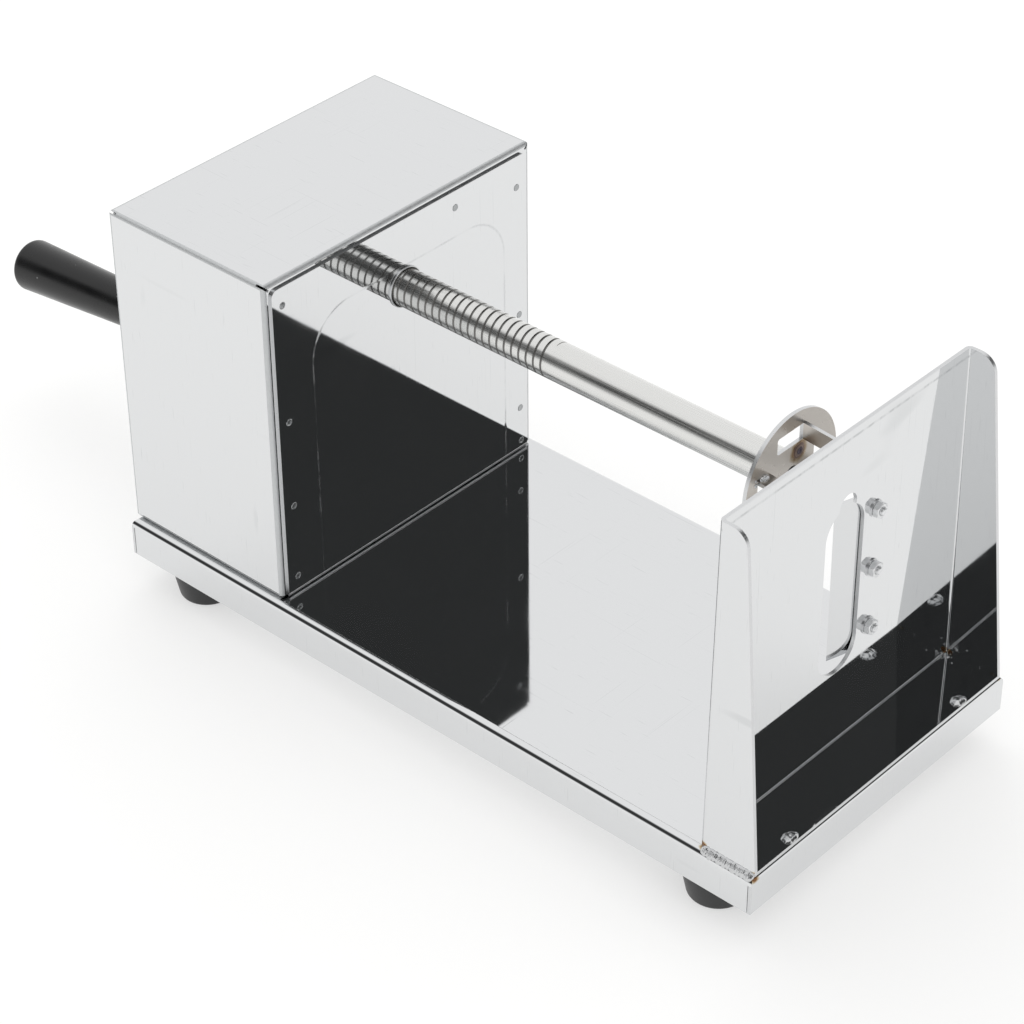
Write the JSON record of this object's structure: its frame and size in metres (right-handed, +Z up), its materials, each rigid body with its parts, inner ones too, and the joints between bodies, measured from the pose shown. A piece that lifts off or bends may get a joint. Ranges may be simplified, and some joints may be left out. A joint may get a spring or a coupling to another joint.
{
  "type": "spiral potato cutter",
  "caption": "Hand-cranked spiral potato cutter: a crank screws a pronged disc along a steel base towards a slotted blade plate",
  "frame": {"origin": "bottom centre of the whole object's box, on the plane of the feet", "axes": "+Z up; +X from the crank towards the blade plate, along the drive screw; +Y across the tray"},
  "size_m": [0.4592, 0.15, 0.171],
  "materials": {
    "sheet_steel": "mirror-polished stainless sheet",
    "rear_sheet": "polished stainless sheet",
    "plated_plate": "plain rolled plate",
    "blade_steel": "ground",
    "screw_steel": "turned and polished along its length",
    "disc_steel": "satin with heat tint",
    "weld_metal": "rippled, heat-tinted",
    "fastener_steel": "bright stainless",
    "turned_steel": "turned",
    "nut_brass": "turned",
    "arm_steel": "polished flat bar",
    "grip_plastic": "glossy black moulding",
    "foot_rubber": "matte black rubber"
  },
  "bodies": {
    "stand": {"base_tray": "sheet_steel", "foot_rear_near": "foot_rubber", "foot_rear_far": "foot_rubber", "foot_front_near": "foot_rubber", "foot_front_far": "foot_rubber", "foot_screws": "fastener_steel", "foot_washers": "fastener_steel", "foot_nuts": "fastener_steel", "housing_shell": "sheet_steel", "front_panel": "sheet_steel", "rear_panel": "rear_sheet", "housing_screws": "fastener_steel", "housing_nuts": "fastener_steel", "nut_plate": "plated_plate", "thread_nut": "nut_brass", "nut_screws": "fastener_steel", "nut_screw_nuts": "fastener_steel", "front_bush": "turned_steel", "blade_plate": "sheet_steel", "slicing_blade": "blade_steel", "blade_bolts": "fastener_steel", "blade_washers": "fastener_steel", "blade_nuts": "fastener_steel", "plate_welds": "weld_metal"},
    "carriage": {"thrust_washer": "turned_steel"},
    "screw": {"screw_shaft": "screw_steel", "fork_disc": "disc_steel", "plug_welds": "weld_metal", "thrust_clip": "fastener_steel", "crank_hub": "turned_steel", "hub_set_screw": "fastener_steel", "crank_arm": "arm_steel", "grip_spindle": "turned_steel", "spindle_nut": "fastener_steel", "spindle_washer": "fastener_steel", "grip_clip": "fastener_steel"},
    "grip": {"grip": "grip_plastic"}
  },
  "joints": [
    {"name": "screw_travel", "type": "slide", "parent": "stand", "child": "carriage", "axis": [1, 0, 0], "range_m": [-0.1296, 0]},
    {"name": "crank_turn", "type": "hinge", "parent": "carriage", "child": "screw", "pos_m": [-0.08586, 0, 0.139], "axis": [1, 0, 0], "range_deg": [-12960, 0]},
    {"name": "grip_spin", "type": "hinge", "parent": "screw", "child": "grip", "pos_m": [-0.10572, 0, 0.06687], "axis": [-0.9965, 0, -0.0837], "continuous": true}
  ],
  "couplings": [
    {"joint": "screw_travel", "follows": "crank_turn", "m_per_rad": 0.00057296}
  ]
}
